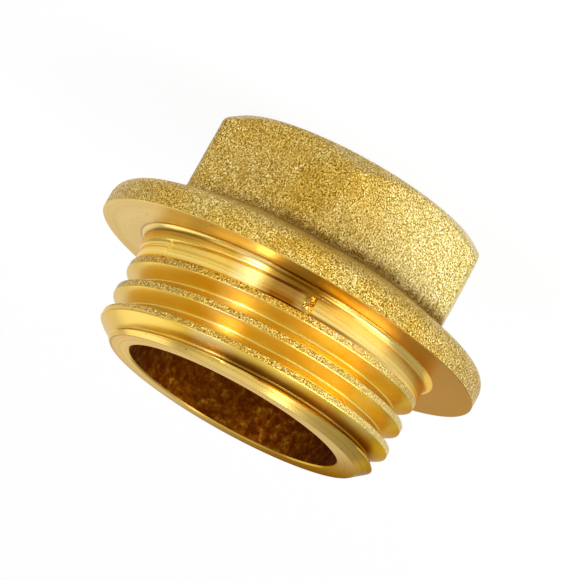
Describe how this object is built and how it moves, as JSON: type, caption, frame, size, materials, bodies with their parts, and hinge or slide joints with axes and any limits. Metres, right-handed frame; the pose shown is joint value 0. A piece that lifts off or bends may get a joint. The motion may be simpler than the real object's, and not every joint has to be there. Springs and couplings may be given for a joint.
{
  "type": "threaded pipe plug",
  "caption": "Hollow brass pipe plug with a forged hexagon head, a flange with a flat seat and a short male parallel pipe thread that closes a pipe end.",
  "frame": {"origin": "centre of the hexagon head's outer face, on the surface that the plug stands on", "axes": "+Z along the plug's axis from the head through the flange to the open threaded end; +X through a corner of the hexagon"},
  "size_m": [0.0277, 0.0276, 0.0169],
  "materials": {
    "brass": "shot-blasted forging with bright turned seat, thread and end face"
  },
  "bodies": {
    "root": {"plug_body": "brass"}
  },
  "joints": []
}
